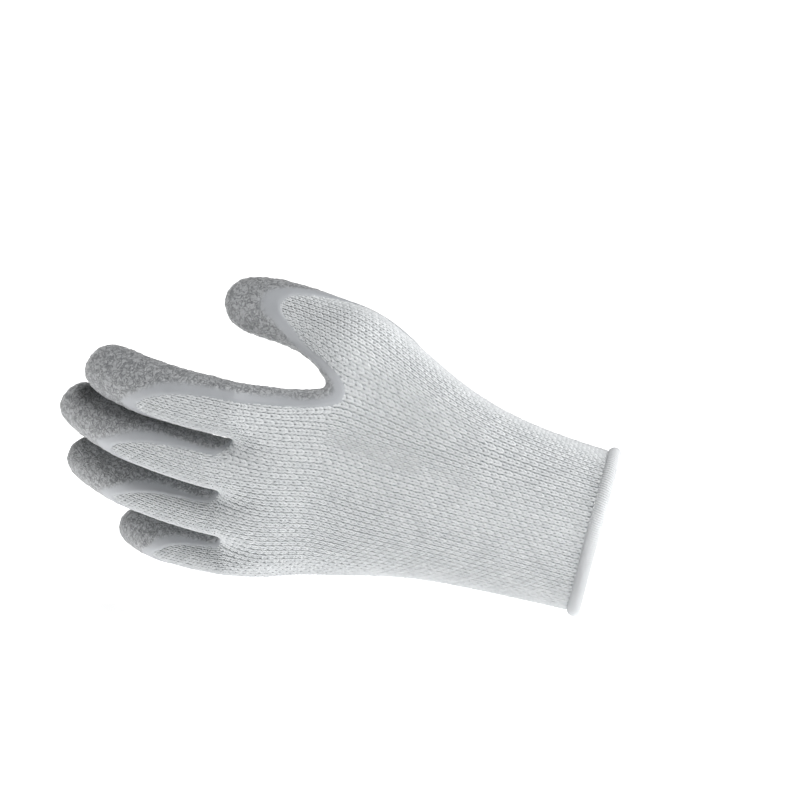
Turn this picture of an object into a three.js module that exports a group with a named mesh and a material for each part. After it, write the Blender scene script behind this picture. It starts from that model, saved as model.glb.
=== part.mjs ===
// Protective glove for the left hand: a knitted liner, a latex palm coating and a cuff hem.
// Millimetres. -X runs from the cuff to the fingertips, +Z is the thumb side,
// -Y is the back of the hand. The origin is the middle of the wrist opening.
import * as THREE from 'three';

// Cuff and hem
const CUFF_BREADTH = 74;
const CUFF_DEPTH = 48;
const HEM_HEIGHT = 5.6;
const HEM_DEPTH = 5.0;
const HEM_STEPS = 48;
const HEM_SIDES = 8;

// Walls and clearance
const KNIT_WALL = 1.1;
const COAT_WALL = 0.9;
const FIT_GAP = 0.3;

// Hand: distances from the cuff end and across the palm
const FORK_DISTANCE = 118;
const PALM_REACH = 38;
const PALM_DEPTH = 27;
const WEB_GAP = 4;
const DEVIATION = 5.6;
const LINES_PER_DIGIT = 3;

// Coating: where it starts on the palm, how far its wrist edge bows, and its laps
const COAT_START = 73;
const COAT_BOW = 16;
const COAT_EDGE_LAP = 5;
const COAT_INNER_LAP = 10;
const COAT_CROTCH_LAP = 6;
const COAT_WEB_LAP = 2.5;
const COAT_DEEPEST = 12;

// Digits from the little finger to the thumb. breadth and length are those of the knitted tube,
// deep is its depth as a share of its breadth, setback and sink place its root behind the
// knuckle line and towards the palm. splay (towards the thumb) and flexion (towards the palm)
// are its headings at root, middle and tip, roll turns its back towards the thumb, in degrees.
// bare, bareTurn and bareReach give the half width of the bare knit on its back, the turn of
// that strip and its reach as a share of the length, and taper how slowly the strip narrows.
const DIGITS = [
  { name: 'little', breadth: 18, deep: 0.96, length: 59.5, setback: 8, sink: 8.5,
    splay: [-17, -20, -22], flexion: [10, 31, 46], roll: -6,
    bare: 72, bareTurn: -18, bareReach: 0.62, taper: 3 },
  { name: 'ring', breadth: 20.4, deep: 0.96, length: 79.5, setback: 1, sink: 3,
    splay: [-10, -11, -12], flexion: [8, 29, 43], roll: -3,
    bare: 72, bareTurn: -20, bareReach: 0.62, taper: 3 },
  { name: 'middle', breadth: 21.6, deep: 0.96, length: 83.5, setback: 0, sink: 0,
    splay: [-8, -8, -8], flexion: [6, 27, 41], roll: 0,
    bare: 72, bareTurn: -20, bareReach: 0.62, taper: 3 },
  { name: 'index', breadth: 22.6, deep: 0.96, length: 74, setback: 2, sink: 2,
    splay: [-9, -10, -10], flexion: [5, 22, 34], roll: 0,
    bare: 72, bareTurn: -20, bareReach: 0.62, taper: 3 },
];
const THUMB = { breadth: 23.6, deep: 0.94, length: 60,
  splay: [4, -7, -25], flexion: [23, 20, 18], roll: 43,
  bare: 80, bareTurn: 4, bareReach: 0.62, taper: 1.5 };

// Thumb root: behind the fork, above the web and towards the palm
const THUMB_SETBACK = 2;
const THUMB_RISE = 47.5;
const THUMB_SINK = 16;

// Rings round a finger and round the thumb: place is a share of the length, back a share of the
// half breadth taken off again, size a share of the half breadth
const FINGER_RINGS = [
  { place: 0.08, back: 0, size: 1.0 },
  { place: 0.40, back: 0, size: 1.0 },
  { place: 0.70, back: 0, size: 0.96 },
  { place: 1, back: 0.56, size: 0.85 },
  { place: 1, back: 0.11, size: 0.43 },
];
const THUMB_RINGS = [
  { place: 0.28, back: 0, size: 1.12 },
  { place: 0.58, back: 0, size: 1.02 },
  { place: 1, back: 0.56, size: 0.84 },
  { place: 1, back: 0.11, size: 0.43 },
];
const THUMB_ROOT_SIZE = 1.34;

// Rows of the wrist: place as a share of the way to the fork, and how far its ulnar and radial
// edges have spread from the cuff's oval to the section at the fork
const WRIST_ROWS = [
  { place: 0, ulnar: 0, radial: 0 },
  { place: 0.21, ulnar: 0.08, radial: 0.09 },
  { place: 0.43, ulnar: 0.18, radial: 0.24 },
  { place: 0.64, ulnar: 0.38, radial: 0.49 },
  { place: 0.84, ulnar: 0.72, radial: 0.80 },
];

// Rows of the palm, from the fork: reach as a share of the way to the finger roots, ulnar and
// radial edges as shares of their places at the roots, depth as a share of the palm depth,
// sink of the two edges as shares of the palm depth, valley at the webs
const PALM_ROWS = [
  { reach: 0, ulnar: 0.82, radial: 1.30, depth: 1.04, sinkUlnar: 0.20, sinkRadial: 0.12, valley: 0 },
  { reach: 0.52, ulnar: 0.92, radial: 1.12, depth: 1.0, sinkUlnar: 0.26, sinkRadial: 0.08, valley: 0.06 },
];
const SECTION_POWER = 2.6;
const SECTION_FILL = 0.97;

const radians = (degrees) => degrees * Math.PI / 180;
const mix = (a, b, share) => a + (b - a) * share;
const clampCover = (cover) => Math.max(-COAT_DEEPEST, Math.min(COAT_DEEPEST, cover));
const coatTop = FIT_GAP + COAT_WALL;
const linerStart = HEM_HEIGHT + FIT_GAP;
const knuckleDistance = FORK_DISTANCE + PALM_REACH;

// A value that passes through three given values at root, middle and tip
function along([root, middle, tip], share) {
  return root * (1 - share) * (1 - 2 * share) + 4 * middle * share * (1 - share)
    + tip * share * (2 * share - 1);
}

// Heading, side and back directions of a digit at a share of its length
function directions(digit, share) {
  const flexion = radians(along(digit.flexion, share));
  const splay = radians(along(digit.splay, share));
  const roll = radians(digit.roll);
  const heading = new THREE.Vector3(
    -Math.cos(flexion) * Math.cos(splay), Math.sin(flexion), Math.cos(flexion) * Math.sin(splay));
  const level = new THREE.Vector3(Math.sin(splay), 0, Math.cos(splay));
  const upright = new THREE.Vector3().crossVectors(level, heading);
  const side = level.clone().multiplyScalar(Math.cos(roll)).addScaledVector(upright, -Math.sin(roll));
  const back = upright.multiplyScalar(Math.cos(roll)).addScaledVector(level, Math.sin(roll));
  return { heading, side, back };
}

// Middle of a digit at a distance from its root, found by walking along its heading
function spinePoint(digit, distance) {
  const steps = 16;
  const point = digit.root.clone();
  for (let i = 0; i < steps; i++) {
    const share = (i + 0.5) / steps * distance / digit.length;
    point.addScaledVector(directions(digit, share).heading, distance / steps);
  }
  return point;
}

// Four lines on the back and four on the palm side of a digit, as angles from its back
const RING_ANGLES = [-67.5, -22.5, 22.5, 67.5];

// How far the coating covers a point of a digit, in millimetres of surface, negative when bare
function digitCover(digit, share, angle) {
  const bareHalf = digit.bare * (1 - (share / digit.bareReach) ** digit.taper);
  let turn = Math.abs(angle - digit.bareTurn);
  turn = Math.min(turn, 360 - turn);
  return clampCover(radians(turn - bareHalf) * digit.breadth / 2);
}

// A ring of eight points round a digit: its back lines and its palm lines
function digitRing(digit, distance, size) {
  const share = distance / digit.length;
  const { side, back } = directions(digit, share);
  const middle = spinePoint(digit, distance);
  const half = digit.breadth / 2 * size;
  const pointAt = (angle) => {
    const position = middle.clone()
      .addScaledVector(side, half * Math.sin(radians(angle)))
      .addScaledVector(back, half * digit.deep * Math.cos(radians(angle)));
    return { position, cover: digitCover(digit, share, angle) };
  };
  return {
    back: RING_ANGLES.map(pointAt),
    palm: RING_ANGLES.map((angle) => pointAt(Math.sign(angle) * 180 - angle)),
  };
}

// Finger roots across the knuckles, each as far from the next as their breadths and the web ask
function placeRoots() {
  const middle = DIGITS.findIndex((digit) => digit.name === 'middle');
  const pitch = (i) => (DIGITS[i].breadth + DIGITS[i + 1].breadth) / 2 + WEB_GAP;
  const heights = DIGITS.map(() => -knuckleDistance * Math.tan(radians(DEVIATION)));
  for (let i = middle + 1; i < DIGITS.length; i++) heights[i] = heights[i - 1] + pitch(i - 1);
  for (let i = middle - 1; i >= 0; i--) heights[i] = heights[i + 1] - pitch(i);
  DIGITS.forEach((digit, i) => {
    digit.root = new THREE.Vector3(-(knuckleDistance - digit.setback), digit.sink, heights[i]);
  });
  THUMB.root = new THREE.Vector3(-(FORK_DISTANCE - THUMB_SETBACK), THUMB_SINK, THUMB_RISE);
}

const between = (a, b, share) => ({
  position: a.position.clone().lerp(b.position, share),
  cover: mix(a.cover, b.cover, share),
});

// Row of points where the fingers leave the palm, with shared points at the webs
function rootRow() {
  const rings = DIGITS.map((digit) => digitRing(digit, 0, 1));
  const joinWebs = (face) => {
    const row = [...rings[0][face]];
    for (const ring of rings.slice(1)) {
      const web = between(row[row.length - 1], ring[face][0], 0.5);
      web.cover = face === 'back' ? -COAT_WEB_LAP : COAT_DEEPEST / 2;
      row.splice(-1, 1, web, ...ring[face].slice(1));
    }
    return row;
  };
  return { back: joinWebs('back'), palm: joinWebs('palm') };
}

// Row of points across the palm between the thumb fork and the finger roots
function palmRow(row, roots) {
  const last = roots.back.length - 1;
  const edge = (line) => (roots.back[line].position.z + roots.palm[line].position.z) / 2;
  const build = (face, sign) => roots[face].map((root, line) => {
    const share = (edge(line) - edge(0)) / (edge(last) - edge(0));
    const across = Math.abs(2 * share - 1) * SECTION_FILL;
    const fill = (1 - across ** SECTION_POWER) ** (1 / SECTION_POWER);
    const isWeb = line % LINES_PER_DIGIT === 0 && line > 0 && line < last;
    const half = PALM_DEPTH / 2 * row.depth * fill * (isWeb ? 1 - row.valley : 1);
    const sink = PALM_DEPTH * mix(row.sinkUlnar, row.sinkRadial, share) * (2 * share - 1) ** 2;
    const x = -mix(FORK_DISTANCE, -root.position.x, row.reach);
    const z = mix(edge(0) * row.ulnar, edge(last) * row.radial, share);
    const lap = line === 0 ? COAT_EDGE_LAP : COAT_INNER_LAP;
    return {
      position: new THREE.Vector3(x, sink + sign * half, z),
      cover: line === last ? COAT_EDGE_LAP + sign * COAT_WEB_LAP : sign * lap,
    };
  });
  return { back: build('back', -1), palm: build('palm', 1) };
}

// The palm row at the fork, joined to the root of the thumb at the web between thumb and index
function forkRow(roots) {
  const hand = palmRow(PALM_ROWS[0], roots);
  const thumb = digitRing(THUMB, 0, THUMB_ROOT_SIZE);
  const join = (face) => {
    const row = [...hand[face]];
    const web = between(row[row.length - 1], thumb[face][0], 0.5);
    web.cover = face === 'back' ? COAT_CROTCH_LAP : COAT_DEEPEST;
    row.splice(-1, 1, web, ...thumb[face].slice(1));
    return row;
  };
  return { back: join('back'), palm: join('palm') };
}

// A row of the wrist, part of the way from the oval of the cuff to the row at the fork
function wristRow(row, fork) {
  const distance = mix(linerStart, FORK_DISTANCE, row.place);
  const lines = fork.back.length;
  const build = (face, sign) => fork[face].map((target, line) => {
    const angle = Math.PI * (line + 0.5) / lines;
    const oval = new THREE.Vector3(
      -FORK_DISTANCE, sign * CUFF_DEPTH / 2 * Math.sin(angle), -CUFF_BREADTH / 2 * Math.cos(angle));
    const share = line / (lines - 1);
    const position = oval.lerp(target.position, mix(row.ulnar, row.radial, share));
    position.x += FORK_DISTANCE - distance;
    const pastEdge = distance - COAT_START - COAT_BOW * (2 * share - 1) ** 2;
    const sideLap = line === 0 || line === lines - 1 ? COAT_EDGE_LAP : COAT_INNER_LAP;
    const cover = sign > 0 ? Math.min(sideLap, pastEdge) : -sideLap;
    return { position, cover: clampCover(cover) };
  });
  return { back: build('back', -1), palm: build('palm', 1) };
}

// Cage: a net of four-sided faces over the whole hand
const cage = { points: [], faces: [] };

function addRow(row) {
  const add = (point) => cage.points.push([...point.position.toArray(), point.cover]) - 1;
  return { back: row.back.map(add), palm: row.palm.map(add) };
}

// Joins two rows with faces on the back, on the palm side and along both edges
function addSleeve(near, far) {
  const last = near.back.length - 1;
  for (let line = 0; line < last; line++) {
    cage.faces.push([near.back[line], near.back[line + 1], far.back[line + 1], far.back[line]]);
    cage.faces.push([near.palm[line], far.palm[line], far.palm[line + 1], near.palm[line + 1]]);
  }
  cage.faces.push([near.back[0], far.back[0], far.palm[0], near.palm[0]]);
  cage.faces.push([near.palm[last], far.palm[last], far.back[last], near.back[last]]);
}

// Rings from a digit's root to its closed tip
function addDigit(digit, rings, root) {
  let near = root;
  for (const ring of rings) {
    const distance = ring.place * digit.length - ring.back * digit.breadth / 2;
    const far = addRow(digitRing(digit, distance, ring.size));
    addSleeve(near, far);
    near = far;
  }
  for (let line = 0; line < LINES_PER_DIGIT; line++) {
    cage.faces.push([near.back[line], near.back[line + 1], near.palm[line + 1], near.palm[line]]);
  }
}

// The lines of a row that belong to one digit
function digitLines(row, number) {
  const first = number * LINES_PER_DIGIT;
  const pick = (ids) => ids.slice(first, first + LINES_PER_DIGIT + 1);
  return { back: pick(row.back), palm: pick(row.palm) };
}

function buildCage() {
  placeRoots();
  const roots = rootRow();
  const fork = forkRow(roots);
  let near = addRow(wristRow(WRIST_ROWS[0], fork));
  for (const row of WRIST_ROWS.slice(1)) {
    const far = addRow(wristRow(row, fork));
    addSleeve(near, far);
    near = far;
  }
  const forkIds = addRow(fork);
  addSleeve(near, forkIds);
  const handLines = DIGITS.length * LINES_PER_DIGIT;
  near = {
    back: forkIds.back.slice(0, handLines + 1),
    palm: forkIds.palm.slice(0, handLines + 1),
  };
  for (const row of [...PALM_ROWS.slice(1).map((entry) => palmRow(entry, roots)), roots]) {
    const far = addRow(row);
    addSleeve(near, far);
    near = far;
  }
  DIGITS.forEach((digit, number) => addDigit(digit, FINGER_RINGS, digitLines(near, number)));
  addDigit(THUMB, THUMB_RINGS, digitLines(forkIds, DIGITS.length));
}

// Neighbours of every point of a net: its edges, its faces and the corners across those faces
function neighbours(net) {
  const edges = new Map();
  const around = net.points.map(() => ({ edges: [], faces: [], corners: [] }));
  net.faces.forEach((face, number) => {
    face.forEach((a, i) => {
      const b = face[(i + 1) % 4];
      const key = a < b ? `${a}_${b}` : `${b}_${a}`;
      if (!edges.has(key)) edges.set(key, { ends: [Math.min(a, b), Math.max(a, b)], faces: [] });
      edges.get(key).faces.push(number);
      around[a].faces.push(number);
      around[a].corners.push(face[(i + 2) % 4]);
    });
  });
  for (const edge of edges.values()) {
    for (const end of edge.ends) around[end].edges.push(edge);
  }
  return { edges: [...edges.values()], around };
}

const blend = (parts) => {
  const sum = [0, 0, 0, 0];
  for (const [weight, point] of parts) {
    for (let i = 0; i < 4; i++) sum[i] += weight * point[i];
  }
  return sum;
};
const otherEnd = (edge, id) => (edge.ends[0] === id ? edge.ends[1] : edge.ends[0]);
const isBorder = (edge) => edge.faces.length === 1;

// Where each point of a net comes to rest on the smooth surface
function smoothPoints(net) {
  const { around } = neighbours(net);
  return net.points.map((point, id) => {
    const near = around[id];
    const border = near.edges.filter(isBorder);
    if (border.length > 0) {
      const ends = border.map((edge) => [1 / 6, net.points[otherEnd(edge, id)]]);
      return blend([[4 / 6, point], ...ends]);
    }
    const n = near.edges.length;
    const whole = n * (n + 5);
    return blend([
      [n * n / whole, point],
      ...near.edges.map((edge) => [4 / whole, net.points[otherEnd(edge, id)]]),
      ...near.corners.map((corner) => [1 / whole, net.points[corner]]),
    ]);
  });
}

// Moves the cage out until its smooth surface passes through the points that it was given
function pushBack(net) {
  const rounds = 12;
  const targets = net.points;
  let points = targets;
  for (let round = 0; round < rounds; round++) {
    const reached = smoothPoints({ points, faces: net.faces });
    points = points.map((point, id) => blend([[1, point], [1, targets[id]], [-1, reached[id]]]));
  }
  return { points, faces: net.faces };
}

// One round of subdivision into four faces for each face
function subdivide(net) {
  const { edges, around } = neighbours(net);
  const centres = net.faces.map((face) => blend(face.map((id) => [0.25, net.points[id]])));
  const moved = net.points.map((point, id) => {
    const near = around[id];
    const border = near.edges.filter(isBorder);
    if (border.length > 0) {
      return blend([[0.75, point], ...border.map((edge) => [0.125, net.points[otherEnd(edge, id)]])]);
    }
    const n = near.edges.length;
    return blend([
      [(n - 2) / n, point],
      ...near.edges.map((edge) => [1 / (n * n), net.points[otherEnd(edge, id)]]),
      ...near.faces.map((face) => [1 / (n * n), centres[face]]),
    ]);
  });
  const points = [...moved, ...centres];
  const edgeIds = new Map();
  for (const edge of edges) {
    const ends = edge.ends.map((id) => net.points[id]);
    const parts = isBorder(edge)
      ? ends.map((end) => [0.5, end])
      : [...ends, ...edge.faces.map((face) => centres[face])].map((part) => [0.25, part]);
    edgeIds.set(edge.ends.join('_'), points.push(blend(parts)) - 1);
  }
  const idOn = (a, b) => edgeIds.get(`${Math.min(a, b)}_${Math.max(a, b)}`);
  const faces = [];
  net.faces.forEach((face, number) => {
    const centre = net.points.length + number;
    face.forEach((id, i) => {
      faces.push([id, idOn(id, face[(i + 1) % 4]), centre, idOn(face[(i + 3) % 4], id)]);
    });
  });
  return { points, faces };
}

// The smooth hand: positions, outward normals, cover values and triangles
function buildSkin() {
  buildCage();
  const fine = subdivide(pushBack(cage));
  const resting = smoothPoints(fine);
  const points = resting.map(([x, y, z]) => new THREE.Vector3(x, y, z));
  const normals = points.map(() => new THREE.Vector3());
  const triangles = [];
  for (const [a, b, c, d] of fine.faces) {
    const first = points[c].clone().sub(points[a]);
    const area = first.cross(points[d].clone().sub(points[b]));
    for (const id of [a, b, c, d]) normals[id].add(area);
    triangles.push([a, b, c], [a, c, d]);
  }
  for (const normal of normals) normal.normalize();
  return { points, normals, cover: resting.map((point) => point[3]), triangles };
}

// A closed wall between two offsets of a skin, with rims along its open edges
function wall(skin, inner, outer) {
  const positions = [];
  for (const offset of [outer, inner]) {
    skin.points.forEach((point, id) => {
      positions.push(...point.clone().addScaledVector(skin.normals[id], offset).toArray());
    });
  }
  const count = skin.points.length;
  const indices = [];
  const open = new Map();
  for (const triangle of skin.triangles) {
    const [a, b, c] = triangle;
    indices.push(a, b, c, a + count, c + count, b + count);
    triangle.forEach((from, i) => {
      const to = triangle[(i + 1) % 3];
      if (!open.delete(`${to}_${from}`)) open.set(`${from}_${to}`, [from, to]);
    });
  }
  for (const [from, to] of open.values()) {
    indices.push(to, from, from + count, to, from + count, to + count);
  }
  const geometry = new THREE.BufferGeometry();
  geometry.setAttribute('position', new THREE.Float32BufferAttribute(positions, 3));
  geometry.setIndex(indices);
  return geometry;
}

// Normals evened out with their neighbours', so that a layer over a narrow web stays open
function evenNormals(skin) {
  const sums = skin.normals.map((normal) => normal.clone());
  for (const triangle of skin.triangles) {
    triangle.forEach((id, i) => sums[id].add(skin.normals[triangle[(i + 1) % 3]]));
  }
  return sums.map((sum) => sum.normalize());
}

// The part of the skin that the coating covers, cut along the line of zero cover
function coveredSkin(skin) {
  const nearEnd = 0.2;
  const cover = [...skin.cover];
  const even = evenNormals(skin);
  for (const triangle of skin.triangles) {
    triangle.forEach((a, i) => {
      const b = triangle[(i + 1) % 3];
      if (cover[a] * cover[b] >= 0) return;
      const share = cover[a] / (cover[a] - cover[b]);
      if (share < nearEnd) cover[a] = 0;
      else if (share > 1 - nearEnd) cover[b] = 0;
    });
  }
  const points = [];
  const normals = [];
  const ids = new Map();
  const keep = (key, make) => {
    if (!ids.has(key)) {
      const { point, normal } = make();
      ids.set(key, points.push(point) - 1);
      normals.push(normal);
    }
    return ids.get(key);
  };
  const corner = (id) => keep(`${id}`, () => ({ point: skin.points[id], normal: even[id] }));
  const crossing = (a, b) => {
    const [low, high] = a < b ? [a, b] : [b, a];
    const share = cover[low] / (cover[low] - cover[high]);
    return keep(`${low}_${high}`, () => ({
      point: skin.points[low].clone().lerp(skin.points[high], share),
      normal: even[low].clone().lerp(even[high], share).normalize(),
    }));
  };
  const triangles = [];
  for (const triangle of skin.triangles) {
    if (!triangle.some((id) => cover[id] > 0)) continue;
    const outline = [];
    triangle.forEach((a, i) => {
      const b = triangle[(i + 1) % 3];
      if (cover[a] >= 0) outline.push(corner(a));
      if (cover[a] * cover[b] < 0) outline.push(crossing(a, b));
    });
    for (let i = 2; i < outline.length; i++) {
      triangles.push([outline[0], outline[i - 1], outline[i]]);
    }
  }
  return { points, normals, triangles };
}

// The hem: an oval bead swept round the end of the cuff, over the middle of the knitted wall
function hemGeometry() {
  const halfBreadth = (CUFF_BREADTH - KNIT_WALL) / 2;
  const halfDepth = (CUFF_DEPTH - KNIT_WALL) / 2;
  const positions = [];
  const indices = [];
  for (let step = 0; step < HEM_STEPS; step++) {
    const angle = 2 * Math.PI * step / HEM_STEPS;
    const middle = new THREE.Vector3(
      -HEM_HEIGHT / 2, -halfDepth * Math.sin(angle), halfBreadth * Math.cos(angle));
    const outward = new THREE.Vector3(
      0, -halfBreadth * Math.sin(angle), halfDepth * Math.cos(angle)).normalize();
    for (let side = 0; side < HEM_SIDES; side++) {
      const turn = 2 * Math.PI * side / HEM_SIDES;
      const point = middle.clone().addScaledVector(outward, HEM_DEPTH / 2 * Math.sin(turn));
      point.x += HEM_HEIGHT / 2 * Math.cos(turn);
      positions.push(...point.toArray());
      const next = (step + 1) % HEM_STEPS;
      const beside = (side + 1) % HEM_SIDES;
      const [a, b] = [step * HEM_SIDES + side, next * HEM_SIDES + side];
      const [c, d] = [next * HEM_SIDES + beside, step * HEM_SIDES + beside];
      indices.push(a, c, b, a, d, c);
    }
  }
  const geometry = new THREE.BufferGeometry();
  geometry.setAttribute('position', new THREE.Float32BufferAttribute(positions, 3));
  geometry.setIndex(indices);
  return geometry;
}

function namedMesh(name, geometry, colour, roughness) {
  const material = new THREE.MeshStandardMaterial({ color: colour, roughness, metalness: 0 });
  const mesh = new THREE.Mesh(geometry, material);
  mesh.name = name;
  return mesh;
}

const skin = buildSkin();
const glove = new THREE.Group();
glove.add(namedMesh('knit_liner', wall(skin, -KNIT_WALL, 0), 0xd6d8d9, 0.9));
glove.add(namedMesh('palm_coating', wall(coveredSkin(skin), FIT_GAP, coatTop), 0x9a9da0, 0.6));
glove.add(namedMesh('cuff_hem', hemGeometry(), 0xe4e6e7, 0.85));

export default glove;
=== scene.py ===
"""A left-hand work glove, knitted in one piece with a crinkle latex palm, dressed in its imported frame.

Millimetres inside the shape classes, metres in every mesh. The cuff opens at the origin, the
fingers point along -X, the thumb is up at +Z and the back of the hand faces -Y.
"""
import logging
import math
from dataclasses import dataclass, field
from enum import Enum

import bpy
import numpy as np
from mathutils import Matrix, Vector, noise


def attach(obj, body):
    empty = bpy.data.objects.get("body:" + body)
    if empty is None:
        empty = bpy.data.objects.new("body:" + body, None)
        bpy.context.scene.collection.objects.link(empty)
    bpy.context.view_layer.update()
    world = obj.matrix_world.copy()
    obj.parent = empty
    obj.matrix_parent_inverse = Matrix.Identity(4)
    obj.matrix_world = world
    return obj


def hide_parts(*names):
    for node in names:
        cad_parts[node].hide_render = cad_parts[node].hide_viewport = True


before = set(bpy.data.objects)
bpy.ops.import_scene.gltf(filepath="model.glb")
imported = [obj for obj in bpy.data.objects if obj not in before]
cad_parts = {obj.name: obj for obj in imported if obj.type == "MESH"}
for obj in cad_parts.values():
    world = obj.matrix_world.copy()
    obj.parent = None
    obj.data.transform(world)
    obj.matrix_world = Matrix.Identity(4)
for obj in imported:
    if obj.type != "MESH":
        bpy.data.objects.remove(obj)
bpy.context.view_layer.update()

LOG = logging.getLogger("glove")
METRES = 0.001
BODY = "root"

# Sizes shared by the whole glove, as in the CAD source
CUFF_BREADTH = 74.0
CUFF_DEPTH = 48.0
HEM_HEIGHT = 5.6
HEM_DEPTH = 5.0
KNIT_WALL = 1.1
LINER_START = 5.9
FORK_DISTANCE = 118.0
KNUCKLE_DISTANCE = 156.0
PALM_DEPTH = 27.0
WEB_GAP = 4.0
DEVIATION = 5.6
LINES_PER_DIGIT = 3
COAT_START = 73.0
COAT_BOW = 16.0
COAT_EDGE_LAP = 5.0
COAT_INNER_LAP = 10.0
COAT_CROTCH_LAP = 6.0
COAT_WEB_LAP = 2.5
COAT_DEEPEST = 12.0
RING_ANGLES = (-67.5, -22.5, 22.5, 67.5)
SEED = 41

# Waves of Blender's noise lie about this share of 1 / scale apart
NOISE_SPAN = 0.7

Sizes = dict[str, tuple[str, object]]


def mix(low: float, high: float, share: float) -> float:
    """A value part of the way from low to high."""
    return low + (high - low) * share


def smooth(value: np.ndarray) -> np.ndarray:
    """A smooth step from 0 to 1 over the range 0 to 1."""
    held = np.clip(value, 0.0, 1.0)
    return held * held * (3.0 - 2.0 * held)


def hold_cover(cover: float) -> float:
    """Cover held to the deepest value that the shape keeps."""
    return max(-COAT_DEEPEST, min(COAT_DEEPEST, cover))


@dataclass(frozen=True)
class Digit:
    """One finger or the thumb: sizes in millimetres, headings and turns in degrees.

    splay is towards the thumb and flexion towards the palm, each at root, middle and tip.
    bare, bare_turn and bare_reach give the bare knit on its back, taper how slowly it narrows.
    """

    name: str
    breadth: float
    deep: float
    length: float
    setback: float
    sink: float
    splay: tuple[float, float, float]
    flexion: tuple[float, float, float]
    roll: float
    bare: float
    bare_turn: float
    bare_reach: float
    taper: float

    def heading_at(self, share: float) -> tuple[np.ndarray, np.ndarray, np.ndarray]:
        """Heading, side and back directions at a share of the length.

        Args:
            share: place along the digit, 0 at the root and 1 at the tip.

        Returns:
            Three unit vectors.
        """
        weights = ((1 - share) * (1 - 2 * share), 4 * share * (1 - share), share * (2 * share - 1))
        flexion = math.radians(sum(w * v for w, v in zip(weights, self.flexion)))
        splay = math.radians(sum(w * v for w, v in zip(weights, self.splay)))
        roll = math.radians(self.roll)
        heading = np.array([-math.cos(flexion) * math.cos(splay), math.sin(flexion),
                            math.cos(flexion) * math.sin(splay)])
        level = np.array([math.sin(splay), 0.0, math.cos(splay)])
        upright = np.cross(level, heading)
        side = level * math.cos(roll) - upright * math.sin(roll)
        back = upright * math.cos(roll) + level * math.sin(roll)
        return heading, side, back

    def middle_at(self, root: np.ndarray, distance: float) -> np.ndarray:
        """The middle of the digit at a distance from its root, in 16 steps along its heading."""
        steps = 16
        point = root.copy()
        for step in range(steps):
            share = (step + 0.5) / steps * distance / self.length
            point += self.heading_at(share)[0] * distance / steps
        return point

    def cover_at(self, share: float, angle: float) -> float:
        """How far the latex covers a point, in millimetres of surface, negative when bare."""
        bare_half = self.bare * (1 - (share / self.bare_reach) ** self.taper)
        turn = abs(angle - self.bare_turn)
        turn = min(turn, 360 - turn)
        return hold_cover(math.radians(turn - bare_half) * self.breadth / 2)

    def ring(self, root: np.ndarray, distance: float, size: float) -> tuple[np.ndarray, np.ndarray]:
        """Four points on the back and four on the palm side.

        Args:
            root: where the digit leaves the hand.
            distance: from the root, along the digit.
            size: share of the half breadth.

        Returns:
            Two arrays of points with their cover, back and palm.
        """
        share = distance / self.length
        _, side, back = self.heading_at(share)
        middle = self.middle_at(root, distance)
        half = self.breadth / 2 * size

        def point_at(angle: float) -> list[float]:
            turn = math.radians(angle)
            place = middle + side * half * math.sin(turn) + back * half * self.deep * math.cos(turn)
            return [*place, self.cover_at(share, angle)]

        backs = [point_at(angle) for angle in RING_ANGLES]
        palms = [point_at(math.copysign(180, angle) - angle) for angle in RING_ANGLES]
        return np.array(backs), np.array(palms)


FINGERS = (
    Digit("little", 18, 0.96, 59.5, 8, 8.5, (-17, -20, -22), (10, 31, 46), -6, 72, -18, 0.62, 3),
    Digit("ring", 20.4, 0.96, 79.5, 1, 3, (-10, -11, -12), (8, 29, 43), -3, 72, -20, 0.62, 3),
    Digit("middle", 21.6, 0.96, 83.5, 0, 0, (-8, -8, -8), (6, 27, 41), 0, 72, -20, 0.62, 3),
    Digit("index", 22.6, 0.96, 74, 2, 2, (-9, -10, -10), (5, 22, 34), 0, 72, -20, 0.62, 3),
)
THUMB = Digit("thumb", 23.6, 0.94, 60, 2, 16, (4, -7, -25), (23, 20, 18), 43, 80, 4, 0.62, 1.5)
THUMB_RISE = 47.5
THUMB_ROOT_SIZE = 1.34

# Rings of a digit: share of the length, share of the half breadth taken off again, size
FINGER_RINGS = ((0.08, 0, 1.0), (0.40, 0, 1.0), (0.70, 0, 0.96), (1, 0.56, 0.85), (1, 0.11, 0.43))
THUMB_RINGS = ((0.28, 0, 1.12), (0.58, 0, 1.02), (1, 0.56, 0.84), (1, 0.11, 0.43))

# Rows of the wrist: share of the way to the fork, spread of the ulnar and of the radial edge
WRIST_ROWS = ((0, 0, 0), (0.21, 0.08, 0.09), (0.43, 0.18, 0.24), (0.64, 0.38, 0.49), (0.84, 0.72, 0.80))


@dataclass(frozen=True)
class PalmRow:
    """A row across the palm: reach to the finger roots, its two edges, depth, sinks and valley."""

    reach: float
    ulnar: float
    radial: float
    depth: float
    sink_ulnar: float
    sink_radial: float
    valley: float


PALM_ROWS = (
    PalmRow(0, 0.82, 1.30, 1.04, 0.20, 0.12, 0),
    PalmRow(0.52, 0.92, 1.12, 1.0, 0.26, 0.08, 0.06),
)
SECTION_POWER = 2.6
SECTION_FILL = 0.97


class Region(Enum):
    """Part of the hand that a patch belongs to."""

    HAND = "hand"
    DIGIT = "digit"


@dataclass(frozen=True)
class Patch:
    """One four-sided patch of the cage, with its place in the knitting."""

    corners: tuple[int, int, int, int]
    region: Region
    row: str
    column: int
    is_tip: bool = False


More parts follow.
